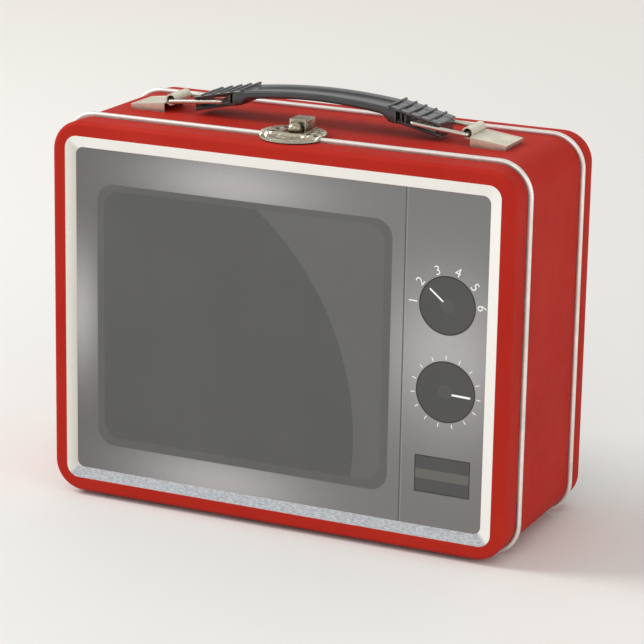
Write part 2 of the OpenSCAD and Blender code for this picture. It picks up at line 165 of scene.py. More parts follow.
def makeRedPaint():
    k = redPaintLook
    f = Finish("redPaint")
    cloud = f.noise(46, 4, 0.55)
    speck = f.noise(k["grainSize"], 2)
    colour = f.mix(f.spread(cloud, 0.3, 0.7, 0, 1), k["deep"], k["light"])
    # painted highlight along the corners, mixed with rubbed wear; the same lighter red also marks scuffs
    rubAndSheen = f.calc("MULTIPLY", f.edges(0.9, 0.02, 0.2), f.spread(f.noise(9, 4), 0.35, 0.65, 0.15, 0.5))
    colour = f.mix(rubAndSheen, colour, k["rubAndSheen"])
    scuff = f.scratches(23, (0.3, 0.5, 0.9), 0.004)
    colour = f.mix(f.calc("MULTIPLY", scuff, 0.1), colour, k["rubAndSheen"])
    rough = f.spread(f.noise(7, 4), 0.25, 0.75, 0.52, 0.62)
    f.bump(f.calc("ADD", f.calc("MULTIPLY", speck, 0.5), f.calc("MULTIPLY", f.noise(2.4, 2), 0.5)),
           0.08, 0.06)
    f.gloss(Specular_IOR_Level=0.05)
    return f.done(colour, rough)


def makeBareMetal(name, dark, light, rough, metal=1.0, streak=(14, 14, 14), grain=0.4, bump=0.12,
                  edge=0.0, hollowShade=None, wear=0.2):
    f = Finish(name)
    cloud = f.noise(9, 4, 0.6)
    lines = f.noise(grain, 2, 0.6, streak)
    share = f.calc("ADD", f.calc("MULTIPLY", f.spread(cloud, 0.3, 0.7, 0, 1), 0.6),
                   f.calc("MULTIPLY", f.spread(lines, 0.35, 0.65, 0, 1), 0.4))
    colour = f.mix(share, dark, light)
    marks = f.scratches(4.1, (0.2, 0.4, 0.7))
    colour = f.mix(f.calc("MULTIPLY", marks, wear), colour, [c * 0.6 for c in dark[:3]] + [1])
    # painted shade: a darker colour laid into hollows and recesses
    if hollowShade:
        colour = f.mix(f.calc("MULTIPLY", f.hollows(2.4), 0.9), colour, hollowShade)
    # painted highlight: near-white along the corners
    if edge:
        colour = f.mix(f.calc("MULTIPLY", f.edges(edge), 0.75), colour, paint(250, 249, 243))
    f.gloss(Metallic=metal)
    f.bump(f.calc("ADD", lines, f.calc("MULTIPLY", marks, -0.4)), bump, 0.04)
    return f.done(colour, f.spread(share, 0, 1, rough + 0.1, rough - 0.06))


redPaint = makeRedPaint()
bareEdge = makeBareMetal("bareEdge", paint(214, 212, 205), paint(243, 241, 236), 0.36, 0.6)
innerTin = makeBareMetal("innerTin", paint(170, 166, 152), paint(214, 210, 198), 0.42, streak=(40, 1, 1))
# nickelSheet gets a painted highlight on its corners and painted shade in its hollows
nickelSheet = makeBareMetal("nickelSheet", paint(198, 192, 170), paint(228, 223, 204), 0.34, 0.4, (9, 1, 9),
                            edge=0.5, hollowShade=paint(88, 82, 66))
nickelWire = makeBareMetal("nickelWire", paint(186, 182, 168), paint(228, 225, 212), 0.26, 0.8, (30, 4, 4),
                           0.9, 0.03, wear=0.04)
# latchMetal gets a painted highlight on its corners and deep painted shade in its hollows
latchMetal = makeBareMetal("latchMetal", paint(160, 152, 128), paint(222, 216, 195), 0.26, 0.85,
                           grain=0.25, edge=0.3, hollowShade=paint(52, 46, 34))
hingeSteel = makeBareMetal("hingeSteel", paint(150, 150, 146), paint(198, 197, 192), 0.3, streak=(30, 1, 1))
tinBack = paint(186, 182, 170)


# painted reflections on the frame's bare slopes: white at top and right, beige growing darker inward on the
# left, blue-grey at the bottom
frameReflections = {
    "white": paint(240, 238, 233), "left": paint(228, 225, 216), "leftInner": paint(204, 202, 194),
    "bottom": paint(150, 154, 160), "bottomLight": paint(206, 210, 214),
}


def makeBareFrame(name, node, back):
    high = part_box(node)[1]
    f = Finish(name)
    x, _, z = f.axes()
    fromSide = f.calc("SUBTRACT", f.calc("ABSOLUTE", x), high.x)
    fromEnd = f.calc("SUBTRACT", f.calc("ABSOLUTE", f.calc("SUBTRACT", z, midZ)), high.z - midZ)
    onSide = f.spread(f.calc("SUBTRACT", fromSide, fromEnd), -1.2 * mm, 1.2 * mm, 0, 1)
    onLeft = f.calc("MULTIPLY", onSide, f.calc("LESS_THAN", x, 0.0))
    onBottom = f.calc("MULTIPLY", f.calc("SUBTRACT", 1.0, onSide), f.calc("LESS_THAN", z, midZ))
    # colour chosen by side of the slope: painted reflections
    leftReflection = f.mix(f.spread(fromSide, -5 * mm, -1 * mm, 1, 0), frameReflections["left"], frameReflections["leftInner"])
    grain = f.noise(0.55, 3, 0.7, (3, 1, 1))
    bottomReflection = f.mix(f.spread(grain, 0.32, 0.68, 0, 1), frameReflections["bottom"], frameReflections["bottomLight"])
    colour = f.mix(onLeft, frameReflections["white"], leftReflection)
    colour = f.mix(onBottom, colour, bottomReflection)
    colour = f.mix(f.calc("MULTIPLY", f.noise(21, 3), 0.08), colour, paint(170, 170, 165))
    colour = f.mix(f.facing(back), colour, tinBack)
    f.gloss(Metallic=0.2, Specular_IOR_Level=0.3)
    f.bump(grain, 0.15, 0.05)
    return f.done(colour, f.spread(f.noise(5, 3), 0.3, 0.7, 0.36, 0.46))


bareFrame = makeBareFrame("bareFrame", "front_frame", 1)
rearBareFrame = makeBareFrame("rearBareFrame", "rear_frame", -1)


# Sizes are millimetres from the middle of the panel
panelArt = {
    "ground": paint(120, 120, 119), "groundLeft": paint(104, 104, 103), "glow": paint(174, 172, 173),
    "screen": (-17.15, -1.5, 73.2, 62.1, 8.5), "screenColour": paint(98, 98, 98),
    "glass": (-17.35, -0.95, 69.6, 58.6, 8.0), "glassColour": paint(91, 91, 91),
    "sweep": (-87.7, -43.0, 127.0), "sweepColour": paint(103, 103, 103),
    "divider": 62.1, "dividerColour": paint(88, 88, 86), "dividerLight": paint(160, 160, 157),
    "dials": [(82.6, 25.7, 13.3), (82.9, -13.3, 14.0)],
    "dialColour": paint(82, 82, 81), "dialRim": paint(50, 50, 49), "dialHub": paint(88, 88, 87),
    "button": (82.4, -52.2, 13.2, 8.6, 0.2), "buttonColour": paint(83, 83, 83),
    "buttonRim": paint(58, 58, 56), "buttonBand": (-54.4, -50.0), "bandColour": paint(104, 104, 100),
    "glows": [(-21.5, 67, 42, 14), (-101, 0, 12, 30), (-27, -73, 44, 15), (82.9, 3, 30, 34)],
    "bleed": paint(176, 84, 74),
}


def makePrintedPanel(name, node, plain):
    a = panelArt
    low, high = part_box(node)
    f = Finish(name)
    x, _, z = f.axes()
    px = f.calc("MULTIPLY", f.calc("SUBTRACT", x, (low.x + high.x) / 2), 1000.0)
    pz = f.calc("MULTIPLY", f.calc("SUBTRACT", z, (low.z + high.z) / 2), 1000.0)

    def inside(distance, soft=0.13):
        return f.spread(distance, -soft, soft, 1, 0)

    def box(cx, cz, halfW, halfH, r):
        qx = f.calc("SUBTRACT", f.calc("ABSOLUTE", f.calc("SUBTRACT", px, cx)), halfW - r)
        qz = f.calc("SUBTRACT", f.calc("ABSOLUTE", f.calc("SUBTRACT", pz, cz)), halfH - r)
        ax, az = f.calc("MAXIMUM", qx, 0.0), f.calc("MAXIMUM", qz, 0.0)
        corner = f.calc("SQRT", f.calc("ADD", f.calc("MULTIPLY", ax, ax), f.calc("MULTIPLY", az, az)))
        flat = f.calc("MINIMUM", f.calc("MAXIMUM", qx, qz), 0.0)
        return f.calc("SUBTRACT", f.calc("ADD", corner, flat), r)

    def ring(cx, cz, r):
        dx, dz = f.calc("SUBTRACT", px, cx), f.calc("SUBTRACT", pz, cz)
        return f.calc("SUBTRACT", f.calc("SQRT", f.calc("ADD", f.calc("MULTIPLY", dx, dx),
                                                        f.calc("MULTIPLY", dz, dz))), r)

    glow = 0.0
    for cx, cz, sx, sz in ([(0, 20, 80, 60)] if plain else a["glows"]):
        dx = f.calc("DIVIDE", f.calc("SUBTRACT", px, cx), float(sx))
        dz = f.calc("DIVIDE", f.calc("SUBTRACT", pz, cz), float(sz))
        q = f.calc("ADD", f.calc("MULTIPLY", dx, dx), f.calc("MULTIPLY", dz, dz))
        glow = f.calc("ADD", glow, f.calc("POWER", math.e, f.calc("MULTIPLY", q, -1.0)))
    ground = f.mix(f.spread(px, -100.0, 60.0, 0, 1), a["groundLeft"], a["ground"])
    colour = f.mix(f.calc("MINIMUM", glow, 1.0), ground, a["glow"])
    if not plain:
        colour = f.mix(inside(box(*a["screen"])), colour, a["screenColour"])
        glass = inside(box(*a["glass"]))
        lens = f.mix(inside(ring(*a["sweep"])), a["sweepColour"], a["glassColour"])
        colour = f.mix(glass, colour, lens)
        line = f.calc("ABSOLUTE", f.calc("SUBTRACT", px, a["divider"]))
        colour = f.mix(inside(f.calc("SUBTRACT", line, 0.28)), colour, a["dividerColour"])
        line = f.calc("ABSOLUTE", f.calc("SUBTRACT", px, a["divider"] + 0.7))
        colour = f.mix(f.calc("MULTIPLY", inside(f.calc("SUBTRACT", line, 0.2)), 0.5), colour,
                       a["dividerLight"])
        for cx, cz, r in a["dials"]:
            dial = ring(cx, cz, r)
            colour = f.mix(inside(dial), colour, a["dialRim"])
            colour = f.mix(inside(f.calc("ADD", dial, 0.55)), colour, a["dialColour"])
            colour = f.mix(inside(f.calc("ADD", dial, r - 3.3)), colour, a["dialHub"])
        button = box(*a["button"])
        band = f.calc("SUBTRACT", f.calc("ABSOLUTE", f.calc("SUBTRACT", pz, sum(a["buttonBand"]) / 2)),
                      (a["buttonBand"][1] - a["buttonBand"][0]) / 2)
        colour = f.mix(inside(button), colour, a["buttonRim"])
        face = f.mix(inside(band), a["buttonColour"], a["bandColour"])
        colour = f.mix(inside(f.calc("ADD", button, 0.5)), colour, face)
    edge = box(0.0, 0.0, (high.x - low.x) / 2 / mm, (high.z - low.z) / 2 / mm, 3.6)
    colour = f.mix(f.calc("MULTIPLY", inside(f.calc("MULTIPLY", edge, -1.0), 0.3), 0.75), colour, a["bleed"])
    dot = f.noise(0.5, 2)
    colour = f.mix(f.calc("MULTIPLY", f.spread(dot, 0.35, 0.65, 0, 1), 0.06), colour, paint(60, 60, 60))
    mottle = f.noise(30, 4)
    colour = f.mix(f.calc("MULTIPLY", f.spread(mottle, 0.4, 0.7, 0, 1), 0.012), colour, paint(200, 200, 196))
    colour = f.mix(f.facing(-1 if plain else 1), colour, tinBack)
    f.bump(dot, 0.06, 0.03)
    f.gloss(Specular_IOR_Level=0.12)
    return f.done(colour, f.spread(mottle, 0.3, 0.7, 0.42, 0.52))


printedPanel = makePrintedPanel("printedPanel", "front_panel", False)
rearPrint = makePrintedPanel("rearPrint", "rear_panel", True)


def makeWhiteInk():
    f = Finish("whiteInk")
    wear = f.noise(0.8, 3)
    colour = f.mix(f.calc("MULTIPLY", f.spread(wear, 0.45, 0.7, 0, 1), 0.15), paint(248, 248, 246),
                   paint(205, 205, 202))
    f.bump(f.noise(0.3, 2), 0.08, 0.02)
    return f.done(colour, f.spread(wear, 0.3, 0.7, 0.42, 0.55))


def makeBlackPlastic():
    f = Finish("blackPlastic")
    cloud, pits = f.noise(8, 4, 0.6), f.noise(0.35, 2)
    colour = f.mix(f.spread(cloud, 0.3, 0.7, 0, 1), paint(34, 35, 38), paint(48, 50, 53))
    marks = f.scratches(5, (0.1, 0.0, 1.2), 0.008)
    colour = f.mix(f.calc("MULTIPLY", marks, 0.3), colour, paint(105, 105, 105))
    # painted highlight along the corners
    colour = f.mix(f.calc("MULTIPLY", f.edges(0.5), 0.7), colour, paint(176, 180, 186))
    # painted shade in the hollows
    colour = f.mix(f.calc("MULTIPLY", f.hollows(3), 0.7), colour, paint(24, 25, 27))
    f.bump(f.calc("ADD", pits, f.calc("MULTIPLY", marks, -0.6)), 0.18, 0.05)
    f.gloss(Specular_IOR_Level=0.6, Coat_Weight=0.55, Coat_Roughness=0.18)
    return f.done(colour, f.spread(cloud, 0.25, 0.75, 0.3, 0.4))


whiteInk = makeWhiteInk()
blackPlastic = makeBlackPlastic()
print("materials ready")


def addPiece(name, mesh, body, slotName, *materials, replaced=()):
    piece = bpy.data.objects.new(name, mesh)
    bpy.context.scene.collection.objects.link(piece)
    kept = [face.material_index for face in mesh.polygons]
    mesh.materials.clear()
    for m in materials:
        mesh.materials.append(m)
    mesh.polygons.foreach_set("material_index", kept)
    if body:
        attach(piece, body)
        if replaced:
            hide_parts(*replaced)
    return piece


def softenEdges(mesh, angle):
    mesh.polygons.foreach_set("use_smooth", [True] * len(mesh.polygons))
    mesh.set_sharp_from_angle(angle=math.radians(angle))


def settled(piece):  # the piece with its modifiers made plain
    graph = bpy.context.evaluated_depsgraph_get()
    mesh = bpy.data.meshes.new_from_object(piece.evaluated_get(graph))
    bpy.data.objects.remove(piece)
    return mesh


def sheetOf(node, width=0.0, angle=30, segments=2, change=None):  # a CAD node's shape with its edges softened
    bm = bmesh.new()
    bm.from_mesh(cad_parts[node].data)
    bmesh.ops.remove_doubles(bm, verts=bm.verts, dist=2e-6)
    bmesh.ops.dissolve_limit(bm, angle_limit=math.radians(0.6), verts=bm.verts, edges=bm.edges)
    if change:
        change(bm)
    mesh = bpy.data.meshes.new(node + "Copy")
    bm.to_mesh(mesh)
    bm.free()
    if width:
        helper = bpy.data.objects.new("helper", mesh)
        bpy.context.scene.collection.objects.link(helper)
        bevel = helper.modifiers.new("edges", "BEVEL")
        bevel.width, bevel.segments, bevel.limit_method = width * mm, segments, "ANGLE"
        bevel.angle_limit = math.radians(angle)
        bevel.use_clamp_overlap = True
        mesh = settled(helper)
    softenEdges(mesh, angle)
    return mesh


def loft(rings, name, angle=35):  # closed rings of points, joined and capped
    bm = bmesh.new()
    made = [[bm.verts.new(p) for p in ring] for ring in rings]
    for a, b in zip(made, made[1:]):
        for i in range(len(a)):
            j = (i + 1) % len(a)
            bm.faces.new((a[i], a[j], b[j], b[i]))
    bm.faces.new(list(reversed(made[0])))
    bm.faces.new(made[-1])
    bmesh.ops.recalc_face_normals(bm, faces=bm.faces)
    mesh = bpy.data.meshes.new(name)
    bm.to_mesh(mesh)
    bm.free()
    softenEdges(mesh, angle)
    return mesh


def joined(meshes, name):
    bm = bmesh.new()
    for mesh in meshes:
        bm.from_mesh(mesh)
    made = bpy.data.meshes.new(name)
    bm.to_mesh(made)
    bm.free()
    return made


def newTree(name, inputs):
    tree = bpy.data.node_groups.new(name, "GeometryNodeTree")
    tree.interface.new_socket("Geometry", in_out="OUTPUT", socket_type="NodeSocketGeometry")
    ids = {}
    for label, kind in inputs.items():
        socket = tree.interface.new_socket(label, in_out="INPUT", socket_type="NodeSocket" + kind)
        ids[label] = socket.identifier
    return tree, ids, tree.nodes.new("NodeGroupInput"), tree.nodes.new("NodeGroupOutput")


def grow(tree, ids, values, name):  # runs a tree and returns its plain mesh
    helper = bpy.data.objects.new(name, bpy.data.meshes.new(name))
    bpy.context.scene.collection.objects.link(helper)
    modifier = helper.modifiers.new(name, "NODES")
    modifier.node_group = tree
    for label, value in values.items():
        modifier[ids[label]] = value
    return settled(helper)


coreHalf = (95, 30, 70)  # a block well inside the tin, in millimetres from its middle


def twoSided(node, name, body):  # paint outside, bare tin inside
    mesh = sheetOf(node)
    core = Vector(coreHalf) * mm
    for face in mesh.polygons:
        c = face.center - Vector((0, 0, midZ))
        away = Vector([v - max(-k, min(k, v)) for v, k in zip(c, core)])
        face.material_index = 0 if away.dot(face.normal) > 0 else 1
    return addPiece(name, mesh, body, "red_paint", redPaint, innerTin, replaced=(node,))


twoSided("lid_shell", "lidTray", "lid")
twoSided("body_band", "caseBand", "case")
twoSided("rear_cover", "rearTray", "case")

for node, material in {
    "front_frame": bareFrame, "rear_frame": rearBareFrame, "front_panel": printedPanel,
    "rear_panel": rearPrint, "front_bead": bareEdge, "rear_bead": bareEdge, "front_collar": innerTin,
    "hinge_pins": hingeSteel, "latch_pin": hingeSteel, "left_bail": nickelWire, "right_bail": nickelWire,
}.items():
    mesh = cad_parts[node].data
    if not mesh.materials:
        mesh.materials.append(material)
    for i in range(len(mesh.materials)):
        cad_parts[node].material_slots[i].material = material
print("case ready")


inkLook = {
    "numeralHeight": 4.4, "numeralRadius": 15.9, "firstAngle": 178.6, "step": -35.1, "numeralCount": 6,
    "tickCount": 15, "tickFrom": 14.7, "tickTo": 16.6, "tickWidth": 0.36, "tickTurn": -5.5,
    "pointers": [((74.2, 32.5), (80.6, 27.3), 0.75), ((85.9, -14.2), (94.6, -14.5), 0.95)],
    "proud": 0.03, "capShare": 0.73, "thinner": 0.05,
}


def onPanel(x, z, y=0.0):
    low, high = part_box("front_panel")
    return Vector(((low.x + high.x) / 2 + x * mm, low.y - y * mm, (low.z + high.z) / 2 + z * mm))


def makeNumerals():
    k = inkLook
    cx, cz = panelArt["dials"][0][:2]
    meshes = []
    for i in range(k["numeralCount"]):
        angle = math.radians(k["firstAngle"] + k["step"] * i)
        curve = bpy.data.curves.new("numeral", "FONT")
        curve.body = str(i + 1)
        curve.align_x, curve.align_y = "CENTER", "CENTER"
        curve.size, curve.extrude = k["numeralHeight"] / k["capShare"] * mm, k["proud"] * mm
        curve.offset = -k["thinner"] * mm
        helper = bpy.data.objects.new("numeral", curve)
        bpy.context.scene.collection.objects.link(helper)
        mesh = settled(helper)
        spot = onPanel(cx + k["numeralRadius"] * math.cos(angle), cz + k["numeralRadius"] * math.sin(angle))
        turn = Matrix.Rotation(math.pi / 2 - angle, 4, "Y") @ Matrix.Rotation(math.pi / 2, 4, "X")
        mesh.transform(Matrix.Translation(spot) @ turn)
        meshes.append(mesh)
    addPiece("dialNumerals", joined(meshes, "dialNumerals"), "lid", "printed_panel", whiteInk)


def makeTicks():
    k = inkLook
    cx, cz = panelArt["dials"][1][:2]
    tree, ids, source, sink = newTree("dialTicks", {"Count": "Int", "Radius": "Float", "Size": "Vector",
                                                    "Turn": "Float", "Middle": "Vector", "Ink": "Material"})
    n, link = tree.nodes, tree.links
    ring = n.new("GeometryNodeMeshCircle")
    link.new(source.outputs["Count"], ring.inputs["Vertices"])
    link.new(source.outputs["Radius"], ring.inputs["Radius"])
    bar = n.new("GeometryNodeMeshCube")
    link.new(source.outputs["Size"], bar.inputs["Size"])
    align = n.new("FunctionNodeAlignRotationToVector")
    align.axis = "X"
    place = n.new("GeometryNodeInputPosition")
    link.new(place.outputs[0], align.inputs["Vector"])
    spread = n.new("GeometryNodeInstanceOnPoints")
    link.new(ring.outputs[0], spread.inputs["Points"])
    link.new(bar.outputs[0], spread.inputs["Instance"])
    link.new(align.outputs[0], spread.inputs["Rotation"])
    angles = n.new("ShaderNodeCombineXYZ")
    angles.inputs[0].default_value = math.pi / 2
    link.new(source.outputs["Turn"], angles.inputs[1])
    move = n.new("GeometryNodeTransform")
    link.new(spread.outputs[0], move.inputs["Geometry"])
    link.new(source.outputs["Middle"], move.inputs["Translation"])
    link.new(angles.outputs[0], move.inputs["Rotation"])
    real = n.new("GeometryNodeRealizeInstances")
    ink = n.new("GeometryNodeSetMaterial")
    link.new(move.outputs[0], real.inputs[0])
    link.new(real.outputs[0], ink.inputs["Geometry"])
    link.new(source.outputs["Ink"], ink.inputs["Material"])
    link.new(ink.outputs[0], sink.inputs[0])
    mesh = grow(tree, ids, {
        "Count": k["tickCount"], "Radius": (k["tickFrom"] + k["tickTo"]) / 2 * mm,
        "Size": ((k["tickTo"] - k["tickFrom"]) * mm, k["tickWidth"] * mm, 2 * k["proud"] * mm),
        "Turn": math.radians(-k["tickTurn"]), "Middle": onPanel(cx, cz), "Ink": whiteInk}, "dialTicks")
    addPiece("dialTicks", mesh, "lid", "printed_panel", whiteInk)


def makePointers():
    meshes = []
    for (x1, z1), (x2, z2), wide in inkLook["pointers"]:
        along = Vector((x2 - x1, 0, z2 - z1)).normalized()
        across = Vector((-along.z, 0, along.x)) * wide / 2 * mm
        rings = []
        for x, z in ((x1, z1), (x2, z2)):
            a, b = onPanel(x, z, inkLook["proud"]), onPanel(x, z, -inkLook["proud"])
            rings.append([a + across, a - across, b - across, b + across])
        meshes.append(loft(rings, "pointer"))
    addPiece("dialPointers", joined(meshes, "dialPointers"), "lid", "printed_panel", whiteInk)


makeNumerals()
makeTicks()
makePointers()
print("panel print ready")


gripShape = {
    "halfWidth": 10.0, "footHalf": 7.55, "webHalf": 7.35, "barHalf": 35.886, "kneeFrom": 31.886,
    "kneeTo": 36.286, "slotIn": 39.986, "slotOut": 58.412, "end": 60.712, "crown": 16.0, "sag": 2.3,
    "barThick": 3.3, "lowSag": 2.9, "slope": 0.2217, "slopeFrom": 47.286, "slotLow": 6.217,
    "slotHigh": 10.617, "slab": 1.25, "foot": 1.4, "channelHalf": 4.4, "channelDeep": 0.85,
    "endDeep": 0.25, "corner": 1.1, "ribCount": 5, "ribPitch": 4.87, "ribFirst": 36.536,
    "ribRadius": 0.62, "ribLength": 20.5, "ribProud": 0.02,
}


def makeGrip():
    g = gripShape
    half = g["halfWidth"]

    def fall(x):
        return -g["slope"] * (x - g["slopeFrom"])

    def topAt(x):
        if x <= g["barHalf"]:
            return g["crown"] - g["sag"] * (x / g["barHalf"]) ** 2
        return g["slotHigh"] + g["slab"] + fall(x)

    def lowAt(x):
        return g["crown"] - g["barThick"] - g["lowSag"] * (x / g["barHalf"]) ** 2

    def footAt(x):
        return g["slotLow"] - g["foot"] + fall(x)

    def ringAt(x, top, low, deep, wide=half):
        r = min(g["corner"], (top - low) * 0.42)
        corner = [math.radians(a) for a in (0, 22, 45, 68, 90)]
        inner = [(-wide + r + (wide - r) * t) for t in (0.12, 0.25, 0.38, 0.47, 0.52, 0.57, 0.62, 0.8, 1.0)]
        top1 = [(-(wide - r) - r * math.cos(a), top - r + r * math.sin(a)) for a in corner]
        top2 = []
        for y in inner:
            step = min(1, max(0, (g["channelHalf"] + 0.5 - abs(y)) / 1.0))
            crown = 0.5 * ((abs(y) - 6.8) / 3.2) ** 2 if abs(y) > 4.9 else 0.18
            top2.append((y, top - deep * step * step * (3 - 2 * step) - min(deep, crown * 0.7)))
        upper = top1 + top2
        upper += [(-y, z) for y, z in reversed(upper[:-1])]
        lower = [((wide - r) + r * math.cos(a), low + r - r * math.sin(a)) for a in corner]
        lower += [(-y, z) for y, z in reversed(lower)]
        return [Vector((x * mm, y * mm, topZ + z * mm)) for y, z in upper + lower]

    stations = []
    count = 26
    for i in range(count):
        x = g["kneeFrom"] * i / count
        stations.append((x, topAt(x), lowAt(x), g["channelDeep"]))
    for i in range(9):
        u = i / 8
        x = g["kneeFrom"] + (g["kneeTo"] - g["kneeFrom"]) * u
        low = lowAt(g["kneeFrom"]) * (1 - u * u) + footAt(g["kneeTo"]) * u * u
        deep = g["channelDeep"] * max(0.25, 1 - max(0, x - g["barHalf"] + 2) / 1.2)
        stations.append((x, topAt(x), low, deep))
    shallow = g["endDeep"]
    stations.append((g["slotIn"], topAt(g["slotIn"]), footAt(g["slotIn"]), shallow))
    for x in (g["slotIn"], 46, 50, 55, g["end"] - 0.6):
        stations.append((x, topAt(x), g["slotHigh"] + fall(x), shallow))
    for back, drop in ((0.2, 0.12), (0.0, 0.35)):
        x = g["end"] - back
        stations.append((x, topAt(x) - drop, g["slotHigh"] + fall(x) + drop * 0.6, shallow))
    rings = [ringAt(-x, *rest) for x, *rest in reversed(stations[1:])] + [ringAt(*s) for s in stations]
    meshes = [loft(rings, "gripBar", 32)]
    webHigh, webLow = g["slotHigh"] + 0.5, g["slotLow"] - 0.5
    for side in (-1, 1):
        for inner, outer, topFrom, lowFrom, wide in (
                (g["slotIn"] - 0.5, g["end"], g["slotLow"], g["slotLow"] - g["foot"], g["footHalf"]),
                (g["slotOut"], g["end"], g["slotHigh"] + 0.4, webLow, g["footHalf"]),
                (g["slotIn"] + 1.1, g["slotIn"] + 2.0, webHigh, webLow, g["webHalf"]),
                (g["slotIn"] + 3.2, g["slotIn"] + 4.1, webHigh, webLow, g["webHalf"])):
            ends = sorted((side * inner, side * outer))
            meshes.append(loft([ringAt(x, topFrom + fall(abs(x)), lowFrom + fall(abs(x)), 0.0, wide)
                                for x in ends], "gripFoot", 32))
    addPiece("gripBar", joined(meshes, "gripBar"), "grip", "black_plastic", blackPlastic, replaced=("grip",))


def makeRibs():
    g = gripShape
    tree, ids, source, sink = newTree("gripRibs", {
        "Count": "Int", "Start": "Vector", "Step": "Vector", "Length": "Float", "Radius": "Float",
        "Plastic": "Material"})
    n, link = tree.nodes, tree.links
    line = n.new("GeometryNodeMeshLine")
    line.mode = "OFFSET"
    link.new(source.outputs["Count"], line.inputs["Count"])
    link.new(source.outputs["Start"], line.inputs["Start Location"])
    link.new(source.outputs["Step"], line.inputs["Offset"])
    body = n.new("GeometryNodeMeshCylinder")
    body.inputs["Vertices"].default_value = 14
    link.new(source.outputs["Radius"], body.inputs["Radius"])
    link.new(source.outputs["Length"], body.inputs["Depth"])
    turn = n.new("GeometryNodeTransform")
    turn.inputs["Rotation"].default_value = (math.pi / 2, 0, 0)
    link.new(body.outputs[0], turn.inputs["Geometry"])
    spread = n.new("GeometryNodeInstanceOnPoints")
    link.new(line.outputs[0], spread.inputs["Points"])
    link.new(turn.outputs[0], spread.inputs["Instance"])
    real = n.new("GeometryNodeRealizeInstances")
    coat = n.new("GeometryNodeSetMaterial")
    link.new(spread.outputs[0], real.inputs[0])
    link.new(real.outputs[0], coat.inputs["Geometry"])
    link.new(source.outputs["Plastic"], coat.inputs["Material"])
    link.new(coat.outputs[0], sink.inputs[0])
    meshes = []
    for side in (-1, 1):
        z = g["slotHigh"] + g["slab"] - g["slope"] * (g["ribFirst"] - g["slopeFrom"]) + g["ribProud"]
        meshes.append(grow(tree, ids, {
            "Count": g["ribCount"], "Start": (side * g["ribFirst"] * mm, 0.0, topZ + z * mm),
            "Step": (side * g["ribPitch"] * mm, 0.0, -g["slope"] * g["ribPitch"] * mm),
            "Length": g["ribLength"] * mm, "Radius": g["ribRadius"] * mm, "Plastic": blackPlastic},
            "gripRibs"))
    ribs = joined(meshes, "gripRibs")
    softenEdges(ribs, 40)
    addPiece("gripRibs", ribs, "grip", "black_plastic", blackPlastic)


bracketShape = {"border": 1.1, "bend": 0.4, "depth": 0.3}


def pressTop(bm):  # a shallow panel pressed into a bracket's sloping top
    k = bracketShape
    flat = max((f for f in bm.faces if f.normal.z > 0.9), key=lambda f: f.calc_area())
    bmesh.ops.inset_region(bm, faces=[flat], thickness=k["border"] * mm)
    bmesh.ops.inset_region(bm, faces=[flat], thickness=k["bend"] * mm, depth=-k["depth"] * mm)


makeGrip()
makeRibs()
for side in ("left", "right"):
    addPiece(side + "BracketPlate", sheetOf(side + "_bracket", 0.22, 25, 2, pressTop), "case", "nickel_sheet",
             nickelSheet, replaced=(side + "_bracket",))
print("handle ready")


plateShape = {
    "radius": 14.9, "thick": 0.55, "scallops": 30, "scallopDeep": 1.2, "rings": 60, "spokes": 330,
    "notchHalf": 4.9, "notchFrom": -32.2, "middle": -30.8, "beadAt": -32.6, "overBead": 2.75,
    "frontHeight": 1.42, "outerHoles": (15, 2.5, 1.0), "innerHoles": (12, 5.6, 1.3),
}


